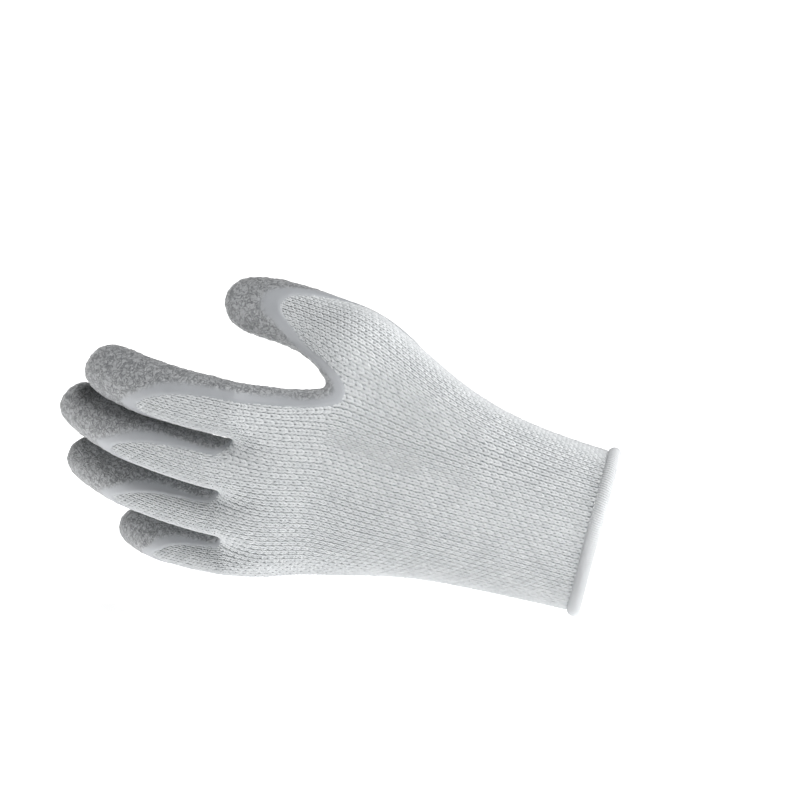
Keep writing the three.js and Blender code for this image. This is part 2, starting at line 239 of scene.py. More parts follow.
@dataclass
class Lattice:
    """An even mesh over the patches: x, y, z and cover of each point, and its quads."""

    points: np.ndarray
    quads: np.ndarray
    patches: np.ndarray
    cells: np.ndarray
    normals: np.ndarray = field(init=False)

    def __post_init__(self) -> None:
        """Works out the normals from the quads."""
        place = self.points[:, :3]
        a, b, c, d = (place[self.quads[:, i]] for i in range(4))
        area = np.cross(c - a, d - b)
        normals = np.zeros_like(place)
        for i in range(4):
            np.add.at(normals, self.quads[:, i], area)
        self.normals = normals / np.maximum(np.linalg.norm(normals, axis=1, keepdims=True), 1e-9)


def net_edges(quads: np.ndarray, count: int) -> tuple[np.ndarray, np.ndarray, np.ndarray]:
    """Edges of a net.

    Args:
        quads: corner numbers of each face.
        count: number of points.

    Returns:
        The two ends of each edge, the edge after each corner of each face, and the faces of each edge.
    """
    starts = quads.reshape(-1)
    ends = np.roll(quads, -1, axis=1).reshape(-1)
    keys = np.minimum(starts, ends) * count + np.maximum(starts, ends)
    found, inverse, uses = np.unique(keys, return_inverse=True, return_counts=True)
    return np.stack([found // count, found % count], axis=1), inverse.reshape(quads.shape), uses


def gather(count: int, ids: np.ndarray, values: np.ndarray) -> np.ndarray:
    """Sum of the values that go to each point."""
    total = np.zeros((count, values.shape[-1]))
    np.add.at(total, ids.reshape(-1), values.reshape(-1, values.shape[-1]))
    return total


def around_points(points: np.ndarray, edges: np.ndarray, uses: np.ndarray
                  ) -> tuple[np.ndarray, np.ndarray, np.ndarray, np.ndarray]:
    """Sums of the neighbours of every point, all of them and those along a border."""
    count = len(points)
    valence = np.bincount(edges.reshape(-1), minlength=count)[:, None].astype(float)
    near = gather(count, edges, points[edges[:, ::-1]])
    rim = edges[uses == 1]
    on_rim = np.zeros(count, bool)
    on_rim[rim.reshape(-1)] = True
    return valence, near, on_rim, gather(count, rim, points[rim[:, ::-1]])


def limit_points(points: np.ndarray, quads: np.ndarray) -> np.ndarray:
    """Where each point of a net comes to rest on the smooth surface."""
    edges, _, uses = net_edges(quads, len(points))
    valence, near, on_rim, rim_near = around_points(points, edges, uses)
    across = gather(len(points), quads, points[np.roll(quads, -2, axis=1)])
    inside = (valence ** 2 * points + 4 * near + across) / (valence * (valence + 5))
    return np.where(on_rim[:, None], (4 * points + rim_near) / 6, inside)


def subdivide(points: np.ndarray, quads: np.ndarray) -> tuple[np.ndarray, np.ndarray]:
    """One round of subdivision; the four children of a face keep its first corner's direction."""
    count = len(points)
    edges, face_edges, uses = net_edges(quads, count)
    valence, near, on_rim, rim_near = around_points(points, edges, uses)
    centres = points[quads].mean(axis=1)
    around = gather(count, quads, np.repeat(centres[:, None], 4, axis=1))
    inside = (valence - 2) / valence * points + (near + around) / valence ** 2
    moved = np.where(on_rim[:, None], 0.75 * points + 0.125 * rim_near, inside)
    ends = points[edges].sum(axis=1)
    beside = gather(len(edges), face_edges, np.repeat(centres[:, None], 4, axis=1))
    middles = np.where((uses == 1)[:, None], ends / 2, (ends + beside) / 4)
    centre = count + np.arange(len(quads))
    edge = face_edges + count + len(quads)
    a, b, c, d = quads.T
    ab, bc, cd, da = edge.T
    children = np.stack([
        np.stack([a, ab, centre, da], axis=1),
        np.stack([ab, b, bc, centre], axis=1),
        np.stack([centre, bc, c, cd], axis=1),
        np.stack([da, centre, cd, d], axis=1),
    ], axis=1)
    return np.concatenate([moved, centres, middles]), children.reshape(-1, 4)


class HandSkin:
    """The smooth skin of the CAD glove, kept as patches that can be laid with any even lattice."""

    LEVEL = 4
    PUSHES = 12  # rounds that push the cage back until the smooth skin meets its points

    def __init__(self) -> None:
        """Builds the cage, pushes it back and refines it."""
        self.points: list[np.ndarray] = []
        self.patches: list[Patch] = []
        self._build_cage()
        corners = np.array([patch.corners for patch in self.patches])
        target = np.array(self.points)
        pushed = target
        for _ in range(self.PUSHES):
            pushed = pushed + target - limit_points(pushed, corners)
        self.webs = limit_points(pushed, corners)[self.web_ids][:, :3]
        self.grids = self._refine(pushed, corners)

    def _refine(self, points: np.ndarray, quads: np.ndarray) -> np.ndarray:
        """Limit points of every patch on a square grid."""
        cells = np.zeros((len(quads), 3), int)
        cells[:, 0] = np.arange(len(quads))
        for _ in range(self.LEVEL):
            points, quads = subdivide(points, quads)
            cells = np.repeat(cells, 4, axis=0)
            cells[:, 1:] *= 2
            cells[1::4, 1] += 1
            cells[2::4, 1:] += 1
            cells[3::4, 2] += 1
        rest = limit_points(points, quads)
        side = 2 ** self.LEVEL
        grids = np.zeros((len(self.patches), side + 1, side + 1, points.shape[1]))
        face, u, v = cells.T
        for corner, (du, dv) in enumerate(((0, 0), (1, 0), (1, 1), (0, 1))):
            grids[face, v + dv, u + du] = rest[quads[:, corner]]
        return grids

    def _roots(self) -> dict[str, np.ndarray]:
        """Where each digit leaves the hand."""
        middle = next(i for i, digit in enumerate(FINGERS) if digit.name == "middle")
        pitch = [(FINGERS[i].breadth + FINGERS[i + 1].breadth) / 2 + WEB_GAP for i in range(3)]
        heights = [-KNUCKLE_DISTANCE * math.tan(math.radians(DEVIATION))] * len(FINGERS)
        for i in range(middle + 1, len(FINGERS)):
            heights[i] = heights[i - 1] + pitch[i - 1]
        for i in range(middle - 1, -1, -1):
            heights[i] = heights[i + 1] - pitch[i]
        roots = {digit.name: np.array([digit.setback - KNUCKLE_DISTANCE, digit.sink, heights[i]])
                 for i, digit in enumerate(FINGERS)}
        roots["thumb"] = np.array([THUMB.setback - FORK_DISTANCE, THUMB.sink, THUMB_RISE])
        return roots

    def _root_row(self) -> tuple[np.ndarray, np.ndarray]:
        """Points where the fingers leave the palm, with shared points at the webs."""
        rings = [digit.ring(self.roots[digit.name], 0, 1) for digit in FINGERS]

        def join(face: int) -> np.ndarray:
            row = list(rings[0][face])
            for ring in rings[1:]:
                web = (row[-1] + ring[face][0]) / 2
                web[3] = -COAT_WEB_LAP if face == 0 else COAT_DEEPEST / 2
                row[-1:] = [web, *ring[face][1:]]
            return np.array(row)

        return join(0), join(1)

    def _palm_row(self, row: PalmRow, roots: tuple[np.ndarray, np.ndarray]
                  ) -> tuple[np.ndarray, np.ndarray]:
        """Points across the palm between the thumb fork and the finger roots."""
        last = len(roots[0]) - 1
        edge = [(roots[0][line][2] + roots[1][line][2]) / 2 for line in range(last + 1)]

        def build(face: int, sign: int) -> np.ndarray:
            points = []
            for line, root in enumerate(roots[face]):
                share = (edge[line] - edge[0]) / (edge[last] - edge[0])
                across = abs(2 * share - 1) * SECTION_FILL
                fill = (1 - across ** SECTION_POWER) ** (1 / SECTION_POWER)
                is_web = line % LINES_PER_DIGIT == 0 and 0 < line < last
                half = PALM_DEPTH / 2 * row.depth * fill * (1 - row.valley if is_web else 1)
                sink = PALM_DEPTH * mix(row.sink_ulnar, row.sink_radial, share) * (2 * share - 1) ** 2
                x = -mix(FORK_DISTANCE, -root[0], row.reach)
                z = mix(edge[0] * row.ulnar, edge[last] * row.radial, share)
                lap = COAT_EDGE_LAP if line == 0 else COAT_INNER_LAP
                cover = COAT_EDGE_LAP + sign * COAT_WEB_LAP if line == last else sign * lap
                points.append([x, sink + sign * half, z, cover])
            return np.array(points)

        return build(0, -1), build(1, 1)

    def _fork_row(self, roots: tuple[np.ndarray, np.ndarray]) -> tuple[np.ndarray, np.ndarray]:
        """The palm row at the fork, joined to the root of the thumb."""
        hand = self._palm_row(PALM_ROWS[0], roots)
        thumb = THUMB.ring(self.roots["thumb"], 0, THUMB_ROOT_SIZE)

        def join(face: int) -> np.ndarray:
            web = (hand[face][-1] + thumb[face][0]) / 2
            web[3] = COAT_CROTCH_LAP if face == 0 else COAT_DEEPEST
            return np.array([*hand[face][:-1], web, *thumb[face][1:]])

        return join(0), join(1)

    def _wrist_row(self, row: tuple[float, float, float], fork: tuple[np.ndarray, np.ndarray]
                   ) -> tuple[np.ndarray, np.ndarray]:
        """A row part of the way from the cuff's oval to the row at the fork."""
        place, ulnar, radial = row
        distance = mix(LINER_START, FORK_DISTANCE, place)
        lines = len(fork[0])

        def build(face: int, sign: int) -> np.ndarray:
            points = []
            for line, target in enumerate(fork[face]):
                angle = math.pi * (line + 0.5) / lines
                oval = np.array([-FORK_DISTANCE, sign * CUFF_DEPTH / 2 * math.sin(angle),
                                 -CUFF_BREADTH / 2 * math.cos(angle)])
                share = line / (lines - 1)
                position = oval + (target[:3] - oval) * mix(ulnar, radial, share)
                position[0] += FORK_DISTANCE - distance
                past_edge = distance - COAT_START - COAT_BOW * (2 * share - 1) ** 2
                lap = COAT_EDGE_LAP if line in (0, lines - 1) else COAT_INNER_LAP
                cover = min(lap, past_edge) if sign > 0 else -lap
                points.append([*position, hold_cover(cover)])
            return np.array(points)

        return build(0, -1), build(1, 1)

    def _add_ring(self, row: tuple[np.ndarray, np.ndarray]) -> tuple[list[int], list[int]]:
        """Adds a row's points to the cage and returns their numbers, back and palm."""
        first = len(self.points)
        self.points += [*row[0], *row[1]]
        middle = first + len(row[0])
        return list(range(first, middle)), list(range(middle, len(self.points)))

    def _add_sleeve(self, near: tuple[list[int], list[int]], far: tuple[list[int], list[int]],
                    region: Region, row: str) -> None:
        """Joins two rows all the way round, back first."""
        near_ring = near[0] + near[1][::-1]
        far_ring = far[0] + far[1][::-1]
        count = len(near_ring)
        for i in range(count):
            j = (i + 1) % count
            corners = (near_ring[i], near_ring[j], far_ring[j], far_ring[i])
            self.patches.append(Patch(corners, region, row, i))

    def _add_digit(self, digit: Digit, rings: tuple, root: tuple[list[int], list[int]]) -> None:
        """Rings from a digit's root to its closed tip."""
        near = root
        for number, (place, back, size) in enumerate(rings):
            distance = place * digit.length - back * digit.breadth / 2
            far = self._add_ring(digit.ring(self.roots[digit.name], distance, size))
            self._add_sleeve(near, far, Region.DIGIT, f"{digit.name}_{number}")
            near = far
        for line in range(LINES_PER_DIGIT):
            corners = (near[0][line], near[0][line + 1], near[1][line + 1], near[1][line])
            self.patches.append(Patch(corners, Region.DIGIT, f"{digit.name}_tip", line, True))

    def _build_cage(self) -> None:
        """Net of four-sided patches over the whole hand."""
        self.roots = self._roots()
        roots = self._root_row()
        fork = self._fork_row(roots)
        near = self._add_ring(self._wrist_row(WRIST_ROWS[0], fork))
        for number, row in enumerate(WRIST_ROWS[1:]):
            far = self._add_ring(self._wrist_row(row, fork))
            self._add_sleeve(near, far, Region.HAND, f"wrist_{number}")
            near = far
        fork_ids = self._add_ring(fork)
        self._add_sleeve(near, fork_ids, Region.HAND, "wrist_4")
        last = LINES_PER_DIGIT * len(FINGERS)
        near = (fork_ids[0][:last + 1], fork_ids[1][:last + 1])
        for number, row in enumerate([*(self._palm_row(row, roots) for row in PALM_ROWS[1:]), roots]):
            far = self._add_ring(row)
            self._add_sleeve(near, far, Region.HAND, f"palm_{number}")
            near = far
        self.web_ids = [near[0][line] for line in range(LINES_PER_DIGIT, last, LINES_PER_DIGIT)]
        for number, digit in enumerate(FINGERS):
            first = number * LINES_PER_DIGIT
            lines = slice(first, first + LINES_PER_DIGIT + 1)
            self._add_digit(digit, FINGER_RINGS, (near[0][lines], near[1][lines]))
        self._add_digit(THUMB, THUMB_RINGS, (fork_ids[0][last:], fork_ids[1][last:]))

    def to_web(self, places: np.ndarray) -> np.ndarray:
        """Distance of each place from the nearest finger web."""
        return np.min(np.linalg.norm(places[:, None] - self.webs[None], axis=2), axis=1)

    def row_counts(self, step: float, columns: int) -> dict[str, int]:
        """How many steps of about the given length each row of patches takes.

        Args:
            step: length along the hand, in millimetres.
            columns: columns of a patch, which a fingertip takes both ways.

        Returns:
            Steps by row name.
        """
        lengths: dict[str, list[float]] = {}
        for number, patch in enumerate(self.patches):
            side = self.grids[number, :, 0, :3]
            lengths.setdefault(patch.row, []).append(np.linalg.norm(np.diff(side, axis=0), axis=1).sum())
        counts = {row: max(1, round(float(np.mean(found)) / step)) for row, found in lengths.items()}
        counts.update({patch.row: columns for patch in self.patches if patch.is_tip})
        return counts

    def lattice(self, members: list[int], columns: int, rows: dict[str, int]) -> Lattice:
        """Lays an even lattice over some patches.

        Args:
            members: numbers of the patches.
            columns: columns of every patch.
            rows: rows by the name of a patch's row.

        Returns:
            The lattice, whose cells hold column and row of each quad in its patch.
        """
        corner_ids: dict[int, int] = {}
        edge_ids: dict[tuple[int, int], np.ndarray] = {}
        total = 0
        places, quads, owners, cells = [], [], [], []
        for number in members:
            patch = self.patches[number]
            count = rows[patch.row]
            ids = np.full((count + 1, columns + 1), -1)
            a, b, c, d = patch.corners
            for corner, at in ((a, (0, 0)), (b, (0, -1)), (c, (-1, -1)), (d, (-1, 0))):
                if corner not in corner_ids:
                    corner_ids[corner] = total
                    total += 1
                ids[at] = corner_ids[corner]
            inner = slice(1, -1)
            for start, end, steps, at in ((a, b, columns, (0, inner)), (d, c, columns, (-1, inner)),
                                          (a, d, count, (inner, 0)), (b, c, count, (inner, -1))):
                key = (min(start, end), max(start, end))
                if key not in edge_ids:
                    edge_ids[key] = np.arange(total, total + steps - 1)
                    total += steps - 1
                ids[at] = edge_ids[key] if start < end else edge_ids[key][::-1]
            ids[inner, inner] = np.arange(total, total + (count - 1) * (columns - 1)).reshape(
                count - 1, columns - 1)
            total += (count - 1) * (columns - 1)
            grid = np.einsum("ai,ijk,bj->abk", cubic_weights(count), self.grids[number],
                             cubic_weights(columns))
            places.append((ids.reshape(-1), grid.reshape(-1, grid.shape[-1])))
            quads.append(np.stack([ids[:-1, :-1], ids[:-1, 1:], ids[1:, 1:], ids[1:, :-1]],
                                  axis=-1).reshape(-1, 4))
            row_of, column_of = np.divmod(np.arange(count * columns), columns)
            cells.append(np.stack([column_of, row_of], axis=1))
            owners.append(np.full(count * columns, number))
        points = np.zeros((total, self.grids.shape[-1]))
        for ids, values in places:
            points[ids] = values
        return Lattice(points, np.concatenate(quads), np.concatenate(owners), np.concatenate(cells))


def cubic_weights(count: int) -> np.ndarray:
    """Weights that read a patch's grid at even steps, by cubics through four of its points."""
    cells = 2 ** HandSkin.LEVEL
    weights = np.zeros((count + 1, cells + 1))
    for row in range(count + 1):
        place = row / count * cells
        start = int(min(max(math.floor(place) - 1, 0), cells - 3))
        nodes = range(start, start + 4)
        for node in nodes:
            others = [other for other in nodes if other != node]
            weights[row, node] = math.prod((place - other) / (node - other) for other in others)
    return weights


def linear(code: str) -> tuple[float, float, float, float]:
    """The linear colour of an sRGB hex code."""
    parts = [int(code[i:i + 2], 16) / 255 for i in (1, 3, 5)]
    red, green, blue = (p / 12.92 if p <= 0.04045 else ((p + 0.055) / 1.055) ** 2.4 for p in parts)
    return red, green, blue, 1.0


def add_node(tree: bpy.types.NodeTree, kind: str, inputs: dict | None = None,
             **settings: object) -> bpy.types.Node:
    """Adds a node with its settings, values and links.

    Args:
        tree: the node tree.
        kind: the node's type.
        inputs: values or output sockets by the name or number of an input.
        settings: properties of the node.

    Returns:
        The node.
    """
    node = tree.nodes.new(kind)
    for name, value in settings.items():
        setattr(node, name, value)
    for name, value in (inputs or {}).items():
        if isinstance(value, bpy.types.NodeSocket):
            tree.links.new(value, node.inputs[name])
        else:
            node.inputs[name].default_value = value
    return node


def new_material(name: str) -> tuple[bpy.types.Material, bpy.types.NodeTree]:
    """An empty node material."""
    material = bpy.data.materials.new(name)
    material.use_nodes = True
    material.node_tree.nodes.clear()
    return material, material.node_tree


@dataclass(frozen=True)
class KnitYarn:
    """Bleached polyester and cotton yarn, ring spun and loosely plied: matt, soft and a little furry."""

    name: str = "knit_yarn_bleached"
    light: str = "#EAECED"
    shade: str = "#D3D6D8"
    roughness: float = 0.88
    sheen: float = 0.25
    fibre_size: float = 0.35  # mm, a tuft of fibres; single fibres of 0.02 mm are too fine to show

    def build(self) -> bpy.types.Material:
        """The yarn of the stitches."""
        material, tree = new_material(self.name)
        place = add_node(tree, "ShaderNodeTexCoord")
        tuft = add_node(tree, "ShaderNodeTexNoise", {
            "Vector": place.outputs["Object"], "Scale": 1000 / self.fibre_size, "Detail": 2.0})
        tone = add_node(tree, "ShaderNodeAttribute", attribute_name="yarn_tone")
        patch = add_node(tree, "ShaderNodeTexNoise", {
            "Vector": place.outputs["Object"], "Scale": 90.0, "Detail": 3.0})
        sum_up = add_node(tree, "ShaderNodeMath", {0: tone.outputs["Fac"], 1: patch.outputs["Fac"]},
                          operation="ADD")
        half = add_node(tree, "ShaderNodeMath", {0: sum_up.outputs[0], 1: 0.5}, operation="MULTIPLY")
        colour = add_node(tree, "ShaderNodeMix", {
            "Factor": half.outputs[0], 6: linear(self.shade), 7: linear(self.light)}, data_type="RGBA")
        bump = add_node(tree, "ShaderNodeBump", {
            "Height": tuft.outputs["Fac"], "Strength": 0.35, "Distance": 0.00012})
        shader = add_node(tree, "ShaderNodeBsdfPrincipled", {
            "Base Color": colour.outputs[2], "Roughness": self.roughness, "IOR": 1.5,
            "Specular IOR Level": 0.25, "Sheen Weight": self.sheen, "Sheen Roughness": 0.5,
            "Normal": bump.outputs["Normal"]})
        add_node(tree, "ShaderNodeOutputMaterial", {"Surface": shader.outputs["BSDF"]})
        return material


@dataclass(frozen=True)
class KnitGround:
    """The sinker loops behind the stitches and the purl side inside: the same yarn, with the shade that it
    lies in painted into its colours.
    """

    name: str
    light: str
    shade: str
    depth: float  # m, how far the purl bumps stand up

    def build(self) -> bpy.types.Material:
        """Rows of purl bumps on the knitting's own map, one for each stitch, with painted shade: darker
        towards the low parts of each bump.
        """
        material, tree = new_material(self.name)
        grid = add_node(tree, "ShaderNodeUVMap", uv_map="knit_map")
        parts = add_node(tree, "ShaderNodeSeparateXYZ", {"Vector": grid.outputs["UV"]})
        waves = []
        for axis, shift in (("X", 0.0), ("Y", 0.25)):
            turned = add_node(tree, "ShaderNodeMath", {
                0: parts.outputs[axis], 1: 2 * math.pi, 2: shift * 2 * math.pi}, operation="MULTIPLY_ADD")
            waves.append(add_node(tree, "ShaderNodeMath", {0: turned.outputs[0]}, operation="SINE"))
        product = add_node(tree, "ShaderNodeMath", {
            0: waves[0].outputs[0], 1: waves[1].outputs[0]}, operation="MULTIPLY")
        rows = add_node(tree, "ShaderNodeMath", {
            0: waves[1].outputs[0], 1: 0.6, 2: product.outputs[0]}, operation="MULTIPLY_ADD")
        height = add_node(tree, "ShaderNodeMapRange", {
            "Value": rows.outputs[0], "From Min": -1.4, "From Max": 1.4})
        # painted shade: the colour goes to the shade colour in the low parts of the bumps
        colour = add_node(tree, "ShaderNodeMix", {
            "Factor": height.outputs["Result"], 6: linear(self.shade), 7: linear(self.light)},
            data_type="RGBA")
        bump = add_node(tree, "ShaderNodeBump", {
            "Height": height.outputs["Result"], "Strength": 0.8, "Distance": self.depth})
        shader = add_node(tree, "ShaderNodeBsdfPrincipled", {
            "Base Color": colour.outputs[2], "Roughness": 0.92, "IOR": 1.5,
            "Specular IOR Level": 0.2, "Normal": bump.outputs["Normal"]})
        add_node(tree, "ShaderNodeOutputMaterial", {"Surface": shader.outputs["BSDF"]})
        return material


@dataclass(frozen=True)
class CrinkleLatex:
    """Grey natural latex, dipped and wrinkled by a solvent wash: satin, with worm-like wrinkles.

    Towards its edge the dip is thinner and dries smooth, so the wrinkles fade out there.
    """

    name: str = "crinkle_latex_grey"
    # ridge and crease colours paint light on the wrinkles' ridges and shade in their creases
    ridge_light: str = "#C4C6C8"
    crease_shade: str = "#77797C"
    plain: str = "#BEC1C5"
    cloudy: str = "#B0B3B7"
    roughness: float = 0.46
    sheen: float = 0.5
    wrinkle: float = 1.5  # mm from crease to crease
    fine_wrinkle: float = 0.8

    def build(self) -> bpy.types.Material:
        """Wrinkles from two sizes of folded noise, masked by the attribute wrinkled; their colour is
        painted shade in the creases and painted light on the ridges.
        """
        material, tree = new_material(self.name)
        place = add_node(tree, "ShaderNodeTexCoord")
        mask = add_node(tree, "ShaderNodeAttribute", attribute_name="wrinkled")
        hills = []
        for size in (self.wrinkle, self.fine_wrinkle):
            field_of = add_node(tree, "ShaderNodeTexNoise", {
                "Vector": place.outputs["Object"], "Scale": NOISE_SPAN / METRES / size, "Detail": 1.0,
                "Distortion": 0.6})
            centred = add_node(tree, "ShaderNodeMath", {0: field_of.outputs["Fac"], 1: 0.5},
                               operation="SUBTRACT")
            folded = add_node(tree, "ShaderNodeMath", {0: centred.outputs[0]}, operation="ABSOLUTE")
            hills.append(add_node(tree, "ShaderNodeMapRange", {
                "Value": folded.outputs[0], "From Max": 0.14}, interpolation_type="SMOOTHSTEP"))
        both = add_node(tree, "ShaderNodeMath", {
            0: hills[1].outputs["Result"], 1: 0.5, 2: hills[0].outputs["Result"]},
            operation="MULTIPLY_ADD")
        masked = add_node(tree, "ShaderNodeMath", {0: both.outputs[0], 1: mask.outputs["Fac"]},
                          operation="MULTIPLY")
        # painted shade and light: darker in the folds of the noise, where the creases lie, lighter on its
        # hills
        crease_shading = add_node(tree, "ShaderNodeMapRange", {"Value": both.outputs[0], "From Max": 1.5})
        colour = add_node(tree, "ShaderNodeMix", {
            "Factor": crease_shading.outputs["Result"], 6: linear(self.crease_shade), 7: linear(self.ridge_light)},
            data_type="RGBA")
        cloud = add_node(tree, "ShaderNodeTexNoise", {
            "Vector": place.outputs["Object"], "Scale": 120.0, "Detail": 3.0})
        smooth_tone = add_node(tree, "ShaderNodeMix", {
            "Factor": cloud.outputs["Fac"], 6: linear(self.cloudy), 7: linear(self.plain)},
            data_type="RGBA")
        shown = add_node(tree, "ShaderNodeMix", {
            "Factor": mask.outputs["Fac"], 6: smooth_tone.outputs[2], 7: colour.outputs[2]},
            data_type="RGBA")
        bump = add_node(tree, "ShaderNodeBump", {
            "Height": masked.outputs[0], "Strength": 0.7, "Distance": 0.0002})
        shader = add_node(tree, "ShaderNodeBsdfPrincipled", {
            "Base Color": shown.outputs[2], "Roughness": self.roughness, "IOR": 1.52,
            "Specular IOR Level": 0.75, "Sheen Weight": self.sheen, "Sheen Roughness": 0.45,
            "Normal": bump.outputs["Normal"]})
        add_node(tree, "ShaderNodeOutputMaterial", {"Surface": shader.outputs["BSDF"]})
        return material


@dataclass(frozen=True)
class StudioPaper:
    """Plain pale paper under the glove, lit from below like a light table."""

    name: str = "studio_paper"
    glow: float = 0.8

    def build(self) -> bpy.types.Material:
        """White, with the glow that keeps the ground free of shadows."""
        material, tree = new_material(self.name)
        shader = add_node(tree, "ShaderNodeBsdfPrincipled", {
            "Base Color": linear("#F4F4F4"), "Roughness": 0.95, "Specular IOR Level": 0.0,
            "Emission Color": linear("#FFFFFF"), "Emission Strength": self.glow})
        add_node(tree, "ShaderNodeOutputMaterial", {"Surface": shader.outputs["BSDF"]})
        return material


def new_object(name: str, mesh: bpy.types.Mesh) -> bpy.types.Object:
    """An object at the origin that shows a mesh."""
    thing = bpy.data.objects.new(name, mesh)
    bpy.context.scene.collection.objects.link(thing)
    return thing


def mesh_from(name: str, places: np.ndarray, faces: np.ndarray) -> bpy.types.Mesh:
    """A smooth mesh in metres from places in millimetres."""
    mesh = bpy.data.meshes.new(name)
    mesh.from_pydata((places * METRES).tolist(), [], faces.tolist())
    mesh.polygons.foreach_set("use_smooth", [True] * len(mesh.polygons))
    mesh.update()
    return mesh


def store(mesh: bpy.types.Mesh, name: str, values: np.ndarray) -> None:
    """Keeps a number or a direction for every point of a mesh."""
    kind, key = ("FLOAT", "value") if values.ndim == 1 else ("FLOAT_VECTOR", "vector")
    layer = mesh.attributes.new(name, kind, "POINT")
    layer.data.foreach_set(key, values.astype(np.float32).reshape(-1))


def new_tree(name: str, geometry: str, sizes: Sizes
             ) -> tuple[bpy.types.NodeTree, bpy.types.Node, dict[str, str]]:
    """A Geometry Nodes tree with named inputs.

    Args:
        name: of the tree.
        geometry: name of its geometry input.
        sizes: kind of socket and value of each further input.

    Returns:
        The tree, its input node and the identifier of each input.
    """
    tree = bpy.data.node_groups.new(name, "GeometryNodeTree")
    tree.interface.new_socket(geometry, in_out="INPUT", socket_type="NodeSocketGeometry")
    tree.interface.new_socket("Geometry", in_out="OUTPUT", socket_type="NodeSocketGeometry")
    keys = {}
    for label, (kind, _) in sizes.items():
        socket = tree.interface.new_socket(label, in_out="INPUT", socket_type=kind)
        keys[label] = socket.identifier
    return tree, add_node(tree, "NodeGroupInput"), keys


def grow(thing: bpy.types.Object, tree: bpy.types.NodeTree, keys: dict[str, str],
         sizes: Sizes) -> None:
    """Runs a Geometry Nodes tree on an object and keeps the plain mesh that it makes."""
    modifier = thing.modifiers.new(tree.name, "NODES")
    modifier.node_group = tree
    for label, (_, value) in sizes.items():
        modifier[keys[label]] = value
    graph = bpy.context.evaluated_depsgraph_get()
    graph.update()
    mesh = bpy.data.meshes.new_from_object(thing.evaluated_get(graph), depsgraph=graph)
    thing.modifiers.remove(modifier)
    old = thing.data
    mesh.name = thing.name
    thing.data = mesh
    bpy.data.meshes.remove(old)


def finish_piece(thing: bpy.types.Object, node: str) -> None:
    """Hangs a piece on the body, in place of its CAD node."""
    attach(thing, BODY)
    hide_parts(node)
    triangles = sum(len(face.vertices) - 2 for face in thing.data.polygons)
    LOG.info("%s: %d triangles", thing.name, triangles)


# One leg of a stitch in shares of its cell: across, along and up
LEG_PATH = {
    "Start": (0.07, -0.64, -0.17),
    "Start Handle": (0.10, -0.24, 0.17),
    "End Handle": (0.38, 0.12, 0.17),
    "End": (0.27, 0.68, -0.18),
}


class Zone(Enum):
    """Parts of the knitting that are kept as one mesh each."""

    CUFF = "cuff"
    WRIST = "wrist"
    BACK = "back"
    DIGITS = "digits"


